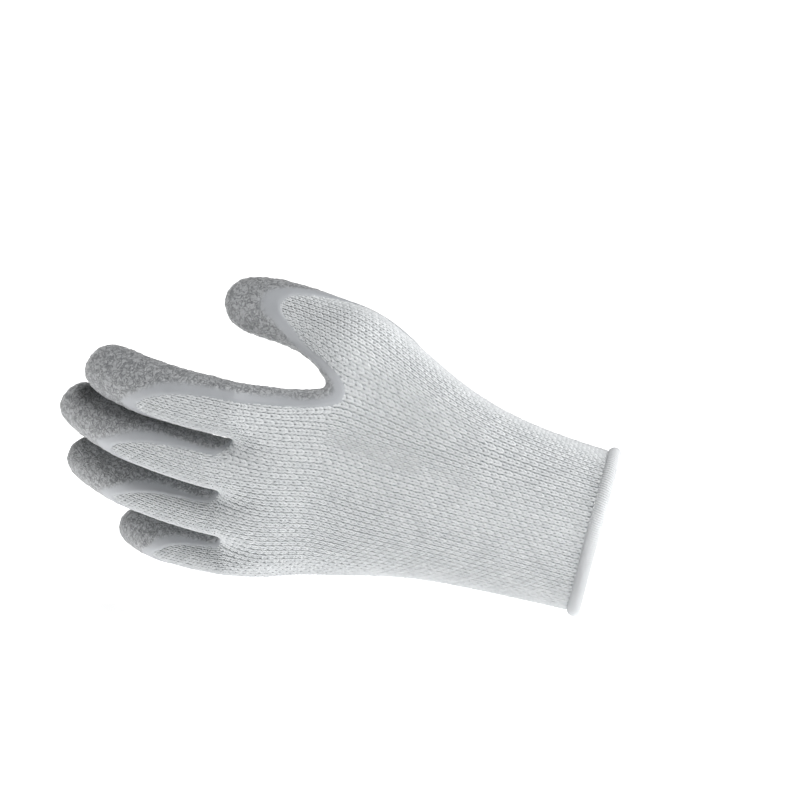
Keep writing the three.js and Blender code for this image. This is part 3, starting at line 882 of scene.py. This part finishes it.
@dataclass
class KnittedLiner:
    """The knitted glove: its ground of sinker loops, and the V-shaped stitches on its bare side."""

    skin: HandSkin
    wales_on_hand: int = 3
    wales_on_digit: int = 4
    wales_near_thumb: tuple[tuple[str, int], ...] = (("wrist_2", 4), ("wrist_3", 5), ("wrist_4", 5))
    thumb_columns: tuple[int, int] = (10, 20)
    course: float = 1.8
    ground_columns: int = 6
    ground_step: float = 1.3
    ground_offset: float = -0.75
    stitch_offset: float = -0.44
    size_spread: float = 0.04
    lift_spread: float = 0.03
    stagger: float = 0.22  # share of a course between one wale and the next
    web_reach: float = 10.0
    web_pull: tuple[float, float, float] = (0.3, 0.1, -0.35)  # wider and flatter at the webs
    yarn_radius: float = 0.225
    leg_steps: int = 3
    leg_sides: int = 5
    thickness: float = 1.7
    lap: float = 1.6
    cuff_reach: float = 50.0
    wrist_reach: float = 92.0

    def ground(self) -> bpy.types.Object:
        """The closed wall behind the stitches, open at the cuff."""
        columns = self.ground_columns
        rows = self.skin.row_counts(self.ground_step, columns)
        members = list(range(len(self.skin.patches)))
        net = self.skin.lattice(members, columns, rows)
        count = len(net.points)
        outer = net.points[:, :3] + net.normals * self.ground_offset
        inner = net.points[:, :3] - net.normals * KNIT_WALL
        edges, _, uses = net_edges(net.quads, count)
        rim_keys = {tuple(edge) for edge in edges[uses == 1].tolist()}
        rims = []
        for quad in net.quads[net.points[net.quads[:, 0], 0] > -LINER_START - 2].tolist():
            for i in range(4):
                a, b = quad[i], quad[(i + 1) % 4]
                if (min(a, b), max(a, b)) in rim_keys:
                    rims.append([b, a, a + count, b + count])
        faces = np.concatenate([net.quads, net.quads[:, ::-1] + count, np.array(rims)])
        mesh = mesh_from("knit_ground", np.concatenate([outer, inner]), faces)
        self._map_knit(mesh, net, columns, rows, len(rims))
        # painted shade: the ground behind the stitches is drawn in darker colours than the yarn, for the
        # shade that the stitches cast on it
        outside = KnitGround("knit_ground_shaded", "#CDD0D2", "#ACAFB2", 0.0002).build()
        inside = KnitGround("knit_purl_side", "#EDEFF0", "#C9CCCE", 0.0005).build()
        mesh.materials.append(outside)
        mesh.materials.append(inside)
        slots = np.ones(len(faces), int)
        slots[:len(net.quads)] = 0
        mesh.polygons.foreach_set("material_index", slots)
        return new_object("knit_ground", mesh)

    def _map_knit(self, mesh: bpy.types.Mesh, net: Lattice, columns: int, rows: dict[str, int],
                  rims: int) -> None:
        """Gives the ground a map that counts wales across and courses along."""
        courses = self.skin.row_counts(self.course, self.wales_on_digit)
        starts = self._course_starts(courses)
        patches = self.skin.patches
        column = np.array([patches[i].column for i in net.patches])
        wales = np.array([self._wales_of(patches[i]) for i in net.patches])
        first = np.array([starts[patches[i].row] for i in net.patches])
        height = np.array([courses[patches[i].row] / rows[patches[i].row] for i in net.patches])
        corners = []
        for du, dv in ((0, 0), (1, 0), (1, 1), (0, 1)):
            across = (column + (net.cells[:, 0] + du) / columns) * wales
            corners.append(np.stack([across, first + (net.cells[:, 1] + dv) * height], axis=1))
        outside = np.stack(corners, axis=1)
        values = np.concatenate([outside.reshape(-1, 2), outside[:, ::-1].reshape(-1, 2),
                                 np.zeros((rims * 4, 2))])
        layer = mesh.uv_layers.new(name="knit_map")
        layer.uv.foreach_set("vector", values.astype(np.float32).reshape(-1))

    def _wales_of(self, patch: Patch) -> int:
        """Wales across a patch: more where the thumb widens the hand."""
        if patch.region is Region.DIGIT:
            return self.wales_on_digit + (1 if patch.row.startswith(THUMB.name) else 0)
        first, last = self.thumb_columns
        wider = dict(self.wales_near_thumb).get(patch.row, self.wales_on_hand)
        return wider if first <= patch.column < last else self.wales_on_hand

    def _course_starts(self, courses: dict[str, int]) -> dict[str, int]:
        """Courses before each row of patches, along its own sleeve."""
        starts: dict[str, int] = {}
        total = 0
        for row in (name for name in courses if name.startswith(("wrist", "palm"))):
            starts[row] = total
            total += courses[row]
        hand = total
        wrist = sum(n for name, n in courses.items() if name.startswith("wrist"))
        for digit in (*FINGERS, THUMB):
            total = wrist if digit is THUMB else hand
            for row in (name for name in courses if name.startswith(digit.name)):
                starts[row] = total
                total += courses[row]
        return starts

    def _cells(self, zone: Zone, wales: int) -> tuple[np.ndarray, ...]:
        """Cells of the knitting in one zone, of the patches with a number of wales.

        Args:
            zone: the zone.
            wales: how many wales cross each of the patches.

        Returns:
            Centres, outward and across and along directions, and 1 for every other cell.
        """
        region = Region.DIGIT if zone is Zone.DIGITS else Region.HAND
        patches = self.skin.patches
        members = [i for i, patch in enumerate(patches)
                   if patch.region is region and self._wales_of(patch) == wales]
        if not members:
            return (np.zeros((0, 4)),)
        courses = self.skin.row_counts(self.course, wales)
        starts = self._course_starts(courses)
        net = self.skin.lattice(members, wales, courses)
        corners = net.points[net.quads]
        centre = corners.mean(axis=1)
        keep = centre[:, 3] < self.lap
        if zone is not Zone.DIGITS:
            near, far = {Zone.CUFF: (0.0, self.cuff_reach),
                         Zone.WRIST: (self.cuff_reach, self.wrist_reach),
                         Zone.BACK: (self.wrist_reach, math.inf)}[zone]
            keep &= (centre[:, 0] < -near) & (centre[:, 0] >= -far)
        corners, centre = corners[keep], centre[keep]
        outward = net.normals[net.quads[keep]].mean(axis=1)
        outward /= np.maximum(np.linalg.norm(outward, axis=1, keepdims=True), 1e-9)
        across = (corners[:, 1] - corners[:, 0] + corners[:, 2] - corners[:, 3])[:, :3] / 2
        along = (corners[:, 3] - corners[:, 0] + corners[:, 2] - corners[:, 1])[:, :3] / 2
        column = np.array([patches[i].column for i in net.patches[keep]], int)
        first = np.array([starts[patches[i].row] for i in net.patches[keep]], int)
        odd = (column * wales + net.cells[keep, 0] + first + net.cells[keep, 1]) % 2
        return centre, outward, across, along, odd

    def stitches(self, zone: Zone, yarn: bpy.types.Material) -> bpy.types.Object:
        """The stitches of one zone, each a pair of yarn legs on its own cell of the knitting."""
        cells = [part for wales in sorted({self._wales_of(patch) for patch in self.skin.patches})
                 if len((part := self._cells(zone, wales))[0])]
        centre, outward, across, along, odd = (np.concatenate(parts) for parts in zip(*cells))
        chance = np.random.default_rng(SEED + len(centre))
        size = np.stack([np.linalg.norm(across, axis=1), np.linalg.norm(along, axis=1),
                         np.full(len(centre), self.thickness)], axis=1)
        size *= chance.uniform(1 - self.size_spread, 1 + self.size_spread, size.shape)
        unit = along / np.linalg.norm(along, axis=1, keepdims=True)
        lift = self.stitch_offset + chance.normal(0, self.lift_spread, (len(centre), 1))
        place = centre[:, :3] + outward * lift
        place += unit * ((odd - 0.5) * self.stagger * size[:, 1])[:, None]
        snug = 1 - smooth(self.skin.to_web(place) / self.web_reach)
        size *= 1 + snug[:, None] * np.array(self.web_pull)
        mesh = bpy.data.meshes.new(f"knit_{zone.value}")
        mesh.from_pydata((place * METRES).tolist(), [], [])
        store(mesh, "along", unit)
        store(mesh, "outward", outward)
        store(mesh, "cell", size * METRES)
        store(mesh, "yarn_tone", chance.uniform(0, 1, len(centre)))
        thing = new_object(f"knit_stitches_{zone.value}", mesh)
        sizes = {
            "Yarn radius": ("NodeSocketFloat", self.yarn_radius),
            "Leg steps": ("NodeSocketInt", self.leg_steps),
            "Leg sides": ("NodeSocketInt", self.leg_sides),
            "Yarn": ("NodeSocketMaterial", yarn),
        }
        tree, keys = self._stitch_tree(sizes)
        grow(thing, tree, keys, sizes)
        return thing

    def _stitch_tree(self, sizes: Sizes) -> tuple[bpy.types.NodeTree, dict[str, str]]:
        """Tree that sets a V of two legs on every point, scaled to its cell."""
        tree, given, keys = new_tree("knit_stitches", "Cells", sizes)
        outline = add_node(tree, "GeometryNodeCurvePrimitiveCircle", {
            "Resolution": given.outputs["Leg sides"], "Radius": given.outputs["Yarn radius"]})
        legs = []
        for side in (1, -1):
            points = {name: (side * across, along, up) for name, (across, along, up) in LEG_PATH.items()}
            path = add_node(tree, "GeometryNodeCurvePrimitiveBezierSegment", {
                "Resolution": given.outputs["Leg steps"], **points})
            legs.append(add_node(tree, "GeometryNodeCurveToMesh", {
                "Curve": path.outputs["Curve"], "Profile Curve": outline.outputs["Curve"],
                "Fill Caps": True}))
        pair = add_node(tree, "GeometryNodeJoinGeometry")
        for leg in legs:
            tree.links.new(leg.outputs["Mesh"], pair.inputs["Geometry"])
        read = {name: add_node(tree, "GeometryNodeInputNamedAttribute", {"Name": name},
                               data_type="FLOAT_VECTOR") for name in ("outward", "along", "cell")}
        turn = add_node(tree, "FunctionNodeAxesToRotation", {
            "Primary Axis": read["outward"].outputs["Attribute"],
            "Secondary Axis": read["along"].outputs["Attribute"]},
            primary_axis="Z", secondary_axis="Y")
        placed = add_node(tree, "GeometryNodeInstanceOnPoints", {
            "Points": given.outputs["Cells"], "Instance": pair.outputs["Geometry"],
            "Rotation": turn.outputs["Rotation"], "Scale": read["cell"].outputs["Attribute"]})
        return end_tree(tree, placed.outputs["Instances"], given.outputs["Yarn"]), keys

    def build(self) -> None:
        """Makes, dresses and hangs the liner's pieces."""
        finish_piece(self.ground(), "knit_liner")
        yarn = KnitYarn().build()
        for zone in Zone:
            finish_piece(self.stitches(zone, yarn), "knit_liner")


def end_tree(tree: bpy.types.NodeTree, instances: bpy.types.NodeSocket,
             finish: bpy.types.NodeSocket) -> bpy.types.NodeTree:
    """Ends a tree: instances made real, smooth shading and the finish."""
    real = add_node(tree, "GeometryNodeRealizeInstances", {"Geometry": instances})
    even = add_node(tree, "GeometryNodeSetShadeSmooth", {"Geometry": real.outputs["Geometry"]})
    dressed = add_node(tree, "GeometryNodeSetMaterial", {
        "Geometry": even.outputs[0], "Material": finish})
    add_node(tree, "NodeGroupOutput", {"Geometry": dressed.outputs["Geometry"]})
    return tree


@dataclass
class LatexCoating:
    """The dipped latex skin: thin where it soaks into the knit at its edge, wrinkled farther in."""

    skin: HandSkin
    columns: int = 12
    step: float = 0.66
    sunk: float = -0.9
    soak: float = 1.7
    spare: float = 0.5  # mm kept beyond the soaked edge
    edge_rise: tuple[float, float] = (1.28, 2.6)  # how far the skin rises at its edge, and over what width
    body_rise: tuple[float, float] = (0.45, 6.0)
    edge_wave: float = 0.45
    wave_lengths: tuple[float, float] = (3.2, 1.3)
    fine_wave: float = 0.6
    smooth_band: tuple[float, float] = (3.4, 6.4)
    web_band: float = 0.3  # share of the smooth band that is left at the finger webs
    web_reach: float = 34.0
    wrinkle_width: float = 2.4
    wrinkle_height: float = 0.28

    def build(self) -> None:
        """Makes, dresses and hangs the coating."""
        members = [i for i, grid in enumerate(self.skin.grids) if grid[..., 3].max() > -self.soak]
        rows = self.skin.row_counts(self.step, self.columns)
        net = self.skin.lattice(members, self.columns, rows)
        broad, fine = self.wave_lengths
        wave = np.array([noise.noise(Vector(place / broad))
                         + self.fine_wave * noise.noise(Vector(place / fine))
                         for place in net.points[:, :3]])
        cover = net.points[:, 3] + self.edge_wave * wave
        kept = net.quads[(cover[net.quads] > -self.soak - self.spare).any(axis=1)]
        used, quads = np.unique(kept, return_inverse=True)
        quads = quads.reshape(-1, 4)
        cover, normals = cover[used], net.normals[used]
        lift = (self.sunk + self.edge_rise[0] * smooth((cover + self.soak) / self.edge_rise[1])
                + self.body_rise[0] * smooth(cover / self.body_rise[1]))
        mesh = mesh_from("latex_coating", net.points[used, :3] + normals * lift[:, None], quads)
        low, high = self.smooth_band
        away = smooth(self.skin.to_web(net.points[used, :3]) / self.web_reach)
        share = self.web_band + (1 - self.web_band) * away
        store(mesh, "wrinkled", smooth((cover / share - low) / (high - low)))
        store(mesh, "outward", normals)
        thing = new_object("latex_coating", mesh)
        sizes = {
            "Wrinkle width": ("NodeSocketFloat", self.wrinkle_width * METRES),
            "Wrinkle height": ("NodeSocketFloat", self.wrinkle_height * METRES),
            "Latex": ("NodeSocketMaterial", CrinkleLatex().build()),
        }
        tree, keys = self._wrinkle_tree(sizes)
        grow(thing, tree, keys, sizes)
        finish_piece(thing, "palm_coating")

    def _wrinkle_tree(self, sizes: Sizes) -> tuple[bpy.types.NodeTree, dict[str, str]]:
        """Tree that raises the broad wrinkles out of the latex."""
        tree, given, keys = new_tree("latex_wrinkles", "Skin", sizes)
        place = add_node(tree, "GeometryNodeInputPosition")
        scale = add_node(tree, "ShaderNodeMath", {
            0: NOISE_SPAN, 1: given.outputs["Wrinkle width"]}, operation="DIVIDE")
        field_of = add_node(tree, "ShaderNodeTexNoise", {
            "Vector": place.outputs["Position"], "Scale": scale.outputs[0], "Detail": 1.0})
        centred = add_node(tree, "ShaderNodeMath", {0: field_of.outputs[0], 1: 0.5},
                           operation="SUBTRACT")
        folded = add_node(tree, "ShaderNodeMath", {0: centred.outputs[0]}, operation="ABSOLUTE")
        hill = add_node(tree, "ShaderNodeMath", {0: folded.outputs[0], 1: 6.0, 2: -0.5},
                        operation="MULTIPLY_ADD")
        mask = add_node(tree, "GeometryNodeInputNamedAttribute", {"Name": "wrinkled"},
                        data_type="FLOAT")
        outward = add_node(tree, "GeometryNodeInputNamedAttribute", {"Name": "outward"},
                           data_type="FLOAT_VECTOR")
        masked = add_node(tree, "ShaderNodeMath", {
            0: hill.outputs[0], 1: mask.outputs["Attribute"]}, operation="MULTIPLY")
        height = add_node(tree, "ShaderNodeMath", {
            0: masked.outputs[0], 1: given.outputs["Wrinkle height"]}, operation="MULTIPLY")
        move = add_node(tree, "ShaderNodeVectorMath", {
            0: outward.outputs["Attribute"], "Scale": height.outputs[0]}, operation="SCALE")
        moved = add_node(tree, "GeometryNodeSetPosition", {
            "Geometry": given.outputs["Skin"], "Offset": move.outputs["Vector"]})
        return end_tree(tree, moved.outputs["Geometry"], given.outputs["Latex"]), keys


@dataclass
class CuffHem:
    """The overlocked edge of the cuff: a soft core under close turns of thread."""

    turns: int = 210
    thread_radius: float = 0.42
    slant: float = 0.5
    core_share: float = 0.86
    path_steps: int = 96
    bead_sides: int = 14
    thread_sides: int = 5

    def build(self) -> None:
        """Makes, dresses and hangs the core and the thread."""
        thread = KnitYarn("hem_yarn_bleached", "#E9EBEC", "#DADCDE", 0.85, 0.15, 0.3).build()
        for name, is_core in (("hem_core", True), ("hem_thread", False)):
            thing = new_object(name, bpy.data.meshes.new(name))
            sizes = {
                "Half breadth": ("NodeSocketFloat", (CUFF_BREADTH - KNIT_WALL) / 2 * METRES),
                "Half depth": ("NodeSocketFloat", (CUFF_DEPTH - KNIT_WALL) / 2 * METRES),
                "Half height": ("NodeSocketFloat", HEM_HEIGHT / 2 * METRES),
                "Half bead": ("NodeSocketFloat", HEM_DEPTH / 2 * METRES),
                "Thread radius": ("NodeSocketFloat", self.thread_radius * METRES),
                "Turns": ("NodeSocketInt", self.turns),
                "Slant": ("NodeSocketFloat", self.slant * METRES),
                "Thread": ("NodeSocketMaterial", thread),
            }
            tree, keys = self._bead_tree(sizes, is_core)
            grow(thing, tree, keys, sizes)
            finish_piece(thing, "cuff_hem")

    def _bead_tree(self, sizes: Sizes, is_core: bool
                   ) -> tuple[bpy.types.NodeTree, dict[str, str]]:
        """Tree that sweeps the core round the cuff, or sets the turns of thread on the same path."""
        tree, given, keys = new_tree("hem_core" if is_core else "hem_thread", "Start", sizes)
        round_path = add_node(tree, "GeometryNodeCurvePrimitiveCircle", {
            "Resolution": self.path_steps, "Radius": 1.0})
        oval = add_node(tree, "ShaderNodeCombineXYZ", {
            "X": given.outputs["Half breadth"], "Y": given.outputs["Half depth"], "Z": 1.0})
        upright = add_node(tree, "GeometryNodeTransform", {
            "Geometry": round_path.outputs["Curve"], "Scale": oval.outputs["Vector"]})
        drop = add_node(tree, "ShaderNodeMath", {0: given.outputs["Half height"], 1: -1.0},
                        operation="MULTIPLY")
        lower = add_node(tree, "ShaderNodeCombineXYZ", {"X": drop.outputs[0]})
        path = add_node(tree, "GeometryNodeTransform", {
            "Geometry": upright.outputs["Geometry"], "Rotation": (0.0, math.pi / 2, 0.0),
            "Translation": lower.outputs["Vector"]})
        ring = add_node(tree, "GeometryNodeCurvePrimitiveCircle", {
            "Resolution": self.bead_sides, "Radius": 1.0})
        share, inset = (self.core_share, 0.0) if is_core else (1.0, -self.thread_radius * METRES)
        high, deep = (add_node(tree, "ShaderNodeMath", {
            0: given.outputs[name], 1: share, 2: inset}, operation="MULTIPLY_ADD")
            for name in ("Half height", "Half bead"))
        if is_core:
            shape = add_node(tree, "ShaderNodeCombineXYZ", {
                "X": high.outputs[0], "Y": deep.outputs[0], "Z": 1.0})
            section = add_node(tree, "GeometryNodeTransform", {
                "Geometry": ring.outputs["Curve"], "Scale": shape.outputs["Vector"]})
            facing = add_node(tree, "GeometryNodeSetCurveNormal", {
                "Curve": path.outputs["Geometry"]}, mode="Z_UP")
            swept = add_node(tree, "GeometryNodeCurveToMesh", {
                "Curve": facing.outputs["Curve"], "Profile Curve": section.outputs["Geometry"]})
            return end_tree(tree, swept.outputs["Mesh"], given.outputs["Thread"]), keys
        cut = add_node(tree, "GeometryNodeCurveToPoints", {
            "Curve": path.outputs["Geometry"], "Count": given.outputs["Turns"]}, mode="COUNT")
        wire = add_node(tree, "GeometryNodeCurvePrimitiveCircle", {
            "Resolution": self.thread_sides, "Radius": given.outputs["Thread radius"]})
        spot = add_node(tree, "GeometryNodeInputPosition")
        parts = add_node(tree, "ShaderNodeSeparateXYZ", {"Vector": spot.outputs["Position"]})
        lean = add_node(tree, "ShaderNodeMath", {0: parts.outputs["X"], 1: given.outputs["Slant"]},
                        operation="MULTIPLY")
        across = add_node(tree, "ShaderNodeMath", {0: parts.outputs["X"], 1: high.outputs[0]},
                          operation="MULTIPLY")
        out = add_node(tree, "ShaderNodeMath", {0: parts.outputs["Y"], 1: deep.outputs[0]},
                       operation="MULTIPLY")
        loop_place = add_node(tree, "ShaderNodeCombineXYZ", {
            "X": across.outputs[0], "Y": out.outputs[0], "Z": lean.outputs[0]})
        loop = add_node(tree, "GeometryNodeSetPosition", {
            "Geometry": ring.outputs["Curve"], "Position": loop_place.outputs["Vector"]})
        thread = add_node(tree, "GeometryNodeCurveToMesh", {
            "Curve": loop.outputs["Geometry"], "Profile Curve": wire.outputs["Curve"]})
        turn = add_node(tree, "FunctionNodeAxesToRotation", {
            "Primary Axis": cut.outputs["Tangent"], "Secondary Axis": (1.0, 0.0, 0.0)},
            primary_axis="Z", secondary_axis="X")
        placed = add_node(tree, "GeometryNodeInstanceOnPoints", {
            "Points": cut.outputs["Points"], "Instance": thread.outputs["Mesh"],
            "Rotation": turn.outputs["Rotation"]})
        return end_tree(tree, placed.outputs["Instances"], given.outputs["Thread"]), keys


@dataclass(frozen=True)
class Lamp:
    """A soft square light: place and size in metres, power in watts."""

    name: str
    place: tuple[float, float, float]
    size: float
    power: float


@dataclass
class Studio:
    """Pale glowing floor, soft light from the right and above, and the camera of the photograph."""

    floor_level: float = -0.128
    floor_radius: float = 6.0
    floor_steps: int = 64
    glove_middle: tuple[float, float, float] = (-0.1, 0.0, 0.0)
    lamps: tuple[Lamp, ...] = (
        Lamp("right", (1.33, -0.15, 0.42), 0.9, 13.0),
        Lamp("above", (0.15, -0.3, 1.45), 0.7, 19.0),
    )
    camera_at: tuple[float, float, float] = (0.0078, -1.4492, 0.9457)
    aim: tuple[float, float, float] = (-0.0933, 0.0173, 0.0267)
    roll: float = 12.82
    lens: float = 190.6

    def build(self) -> None:
        """Makes the floor, the lights, the surroundings and the camera."""
        self._floor()
        for lamp in self.lamps:
            self._light(lamp)
        self._surroundings()
        self._camera()

    def _floor(self) -> None:
        """A wide flat disc well below the glove, which the photograph shows in mid air."""
        steps = self.floor_steps
        turns = [2 * math.pi * step / steps for step in range(steps)]
        mesh = bpy.data.meshes.new("studio_floor")
        mesh.from_pydata([(self.floor_radius * math.cos(turn), self.floor_radius * math.sin(turn),
                           self.floor_level) for turn in turns], [], [list(range(steps))])
        mesh.materials.append(StudioPaper().build())
        new_object("studio_floor", mesh)

    def _light(self, lamp: Lamp) -> None:
        """Turns a lamp towards the glove."""
        light = bpy.data.lights.new(lamp.name, "AREA")
        light.size = lamp.size
        light.energy = lamp.power
        thing = bpy.data.objects.new(lamp.name, light)
        bpy.context.scene.collection.objects.link(thing)
        thing.location = lamp.place
        toward = Vector(self.glove_middle) - Vector(lamp.place)
        thing.rotation_euler = toward.to_track_quat("-Z", "Y").to_euler()

    def _surroundings(self) -> None:
        """Pale walls to the camera that give no light, so the hollows between the fingers stay dark."""
        world = bpy.data.worlds.new("studio")
        world.use_nodes = True
        tree = world.node_tree
        tree.nodes.clear()
        path = add_node(tree, "ShaderNodeLightPath")
        shade = add_node(tree, "ShaderNodeBackground", {
            "Color": linear("#FAFBFC"), "Strength": path.outputs["Is Camera Ray"]})
        add_node(tree, "ShaderNodeOutputWorld", {"Surface": shade.outputs["Background"]})
        bpy.context.scene.world = world

    def _camera(self) -> None:
        """Camera at the photograph's angle, rolled so that the hand dips to the right."""
        data = bpy.data.cameras.new("photo_camera")
        data.lens = self.lens
        data.sensor_width = 36.0
        place = Vector(self.camera_at)
        forward = (Vector(self.aim) - place).normalized()
        level = forward.cross(Vector((0, 0, 1))).normalized()
        upright = level.cross(forward)
        roll = math.radians(self.roll)
        right = level * math.cos(roll) + upright * math.sin(roll)
        top = upright * math.cos(roll) - level * math.sin(roll)
        turn = Matrix((right, top, -forward)).transposed().to_4x4()
        camera = bpy.data.objects.new("photo_camera", data)
        camera.matrix_world = Matrix.Translation(place) @ turn
        bpy.context.scene.collection.objects.link(camera)
        bpy.context.scene.camera = camera


def main() -> None:
    """Builds the studio and the glove in order."""
    logging.basicConfig(level=logging.INFO, format="%(name)s %(message)s")
    bpy.context.scene.view_settings.view_transform = "Standard"
    Studio().build()
    skin = HandSkin()
    LOG.info("skin: %d patches", len(skin.patches))
    KnittedLiner(skin).build()
    LatexCoating(skin).build()
    CuffHem().build()


if __name__ == "__main__":
    main()
